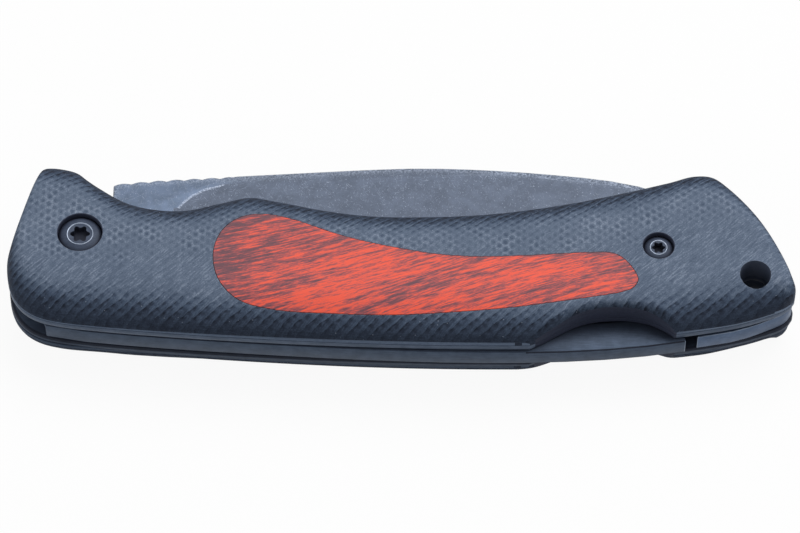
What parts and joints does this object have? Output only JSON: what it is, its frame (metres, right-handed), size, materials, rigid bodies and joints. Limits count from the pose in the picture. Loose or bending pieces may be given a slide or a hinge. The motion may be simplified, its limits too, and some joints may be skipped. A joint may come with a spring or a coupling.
{
  "type": "folding pocket knife",
  "caption": "Closed folding pocket knife: pivoting drop-point blade and sprung rocking lock bar between steel liners, with crowned laminate scales and flush wood inlays.",
  "frame": {"origin": "under the middle of the knife's bounding box, on the rear face that the knife lies on", "axes": "+X from the pivot end to the butt, +Y to the open side where the spine of the closed blade shows, +Z through the thickness to the front side"},
  "size_m": [0.1144, 0.0326, 0.0138],
  "materials": {
    "laminate": "matte machined woven laminate, dark blue-grey",
    "wood": "orange-red dyed wood with dark maroon streaks, satin",
    "dark_steel": "dark blue-grey coated steel, satin",
    "blade_steel": "grey stonewashed steel",
    "spring_steel": "plain spring steel",
    "bronze": "phosphor bronze, smooth",
    "black_screw": "black oxide, semi-gloss"
  },
  "bodies": {
    "handle": {"front_scale": "laminate", "rear_scale": "laminate", "front_inlay": "wood", "rear_inlay": "wood", "front_liner": "dark_steel", "rear_liner": "dark_steel", "pivot_screw": "black_screw", "pivot_barrel": "black_screw", "front_washer": "bronze", "rear_washer": "bronze", "front_body_screw": "black_screw", "rear_body_screw": "black_screw", "body_sleeve": "dark_steel", "lock_pin": "dark_steel", "front_lock_washer": "bronze", "rear_lock_washer": "bronze", "spacer_dowel": "dark_steel", "lock_spring": "spring_steel", "back_spacer": "dark_steel"},
    "blade": {"blade": "blade_steel"},
    "lock_bar": {"lock_bar": "dark_steel"}
  },
  "joints": [
    {"name": "blade_pivot", "type": "hinge", "parent": "handle", "child": "blade", "pos_m": [-0.04655, 0.00104, 0.0069], "axis": [0, 0, 1], "range_deg": [0, 173]},
    {"name": "lock_bar_rock", "type": "hinge", "parent": "handle", "child": "lock_bar", "pos_m": [-0.00505, -0.01336, 0.0069], "axis": [0, 0, -1], "range_deg": [-3.7, 2.2], "stiffness_Nm_per_rad": 0.5, "deforming": ["lock_spring"]}
  ]
}
